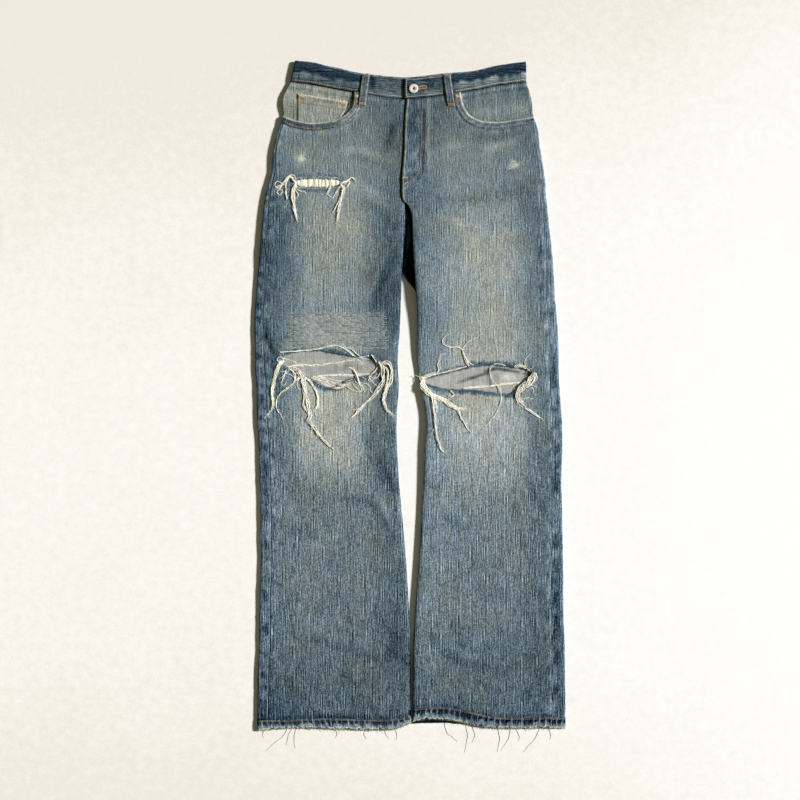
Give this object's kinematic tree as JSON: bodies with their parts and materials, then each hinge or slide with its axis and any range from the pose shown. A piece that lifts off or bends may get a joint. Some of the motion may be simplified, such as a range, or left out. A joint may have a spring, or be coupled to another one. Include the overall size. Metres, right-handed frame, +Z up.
{
  "type": "ripped denim jeans, laid flat",
  "caption": "Straight-leg denim jeans laid flat, front up, worn through at both knees and one thigh, faded and frayed at the hems.",
  "frame": {"origin": "the ground under the middle of the garment's bounding box", "axes": "+Y to the waist, +X to the wearer's left leg, +Z up from the surface it lies on, out of its front"},
  "size_m": [0.5039, 1.0839, 0.0136],
  "materials": {
    "front_right_denim": "faded slubby indigo denim",
    "front_left_denim": "faded slubby indigo denim",
    "back_denim": "less faded indigo denim",
    "waistband_denim": "dark indigo denim, worn pale near its seam",
    "loop_denim": "worn denim with pale edges",
    "pale_denim": "bleached denim",
    "hem_denim": "roped and frayed denim",
    "loose_weft": "undyed cotton weft",
    "stitch_thread": "faded tan topstitch thread",
    "button_metal": "worn nickel",
    "rivet_metal": "dull copper"
  },
  "bodies": {
    "root": {"front_right_panel": "front_right_denim", "front_left_panel": "front_left_denim", "back_right_panel": "back_denim", "back_left_panel": "back_denim", "yoke_right": "back_denim", "yoke_left": "back_denim", "back_pocket_right": "back_denim", "back_pocket_left": "back_denim", "waistband_back": "waistband_denim", "waistband_front_right": "waistband_denim", "waistband_front_left": "waistband_denim", "belt_loop_front_right": "loop_denim", "belt_loop_front_left": "loop_denim", "belt_loop_back_right": "loop_denim", "belt_loop_back_left": "loop_denim", "belt_loop_back_centre": "loop_denim", "pocket_facing_right": "pale_denim", "pocket_facing_left": "pale_denim", "coin_pocket": "pale_denim", "fly_shield": "back_denim", "hem_front_right": "hem_denim", "hem_front_left": "hem_denim", "hem_back_right": "hem_denim", "hem_back_left": "hem_denim", "waist_button": "button_metal", "rivet_right": "rivet_metal", "rivet_left": "rivet_metal", "thigh_rip_threads": "loose_weft"}
  },
  "joints": []
}
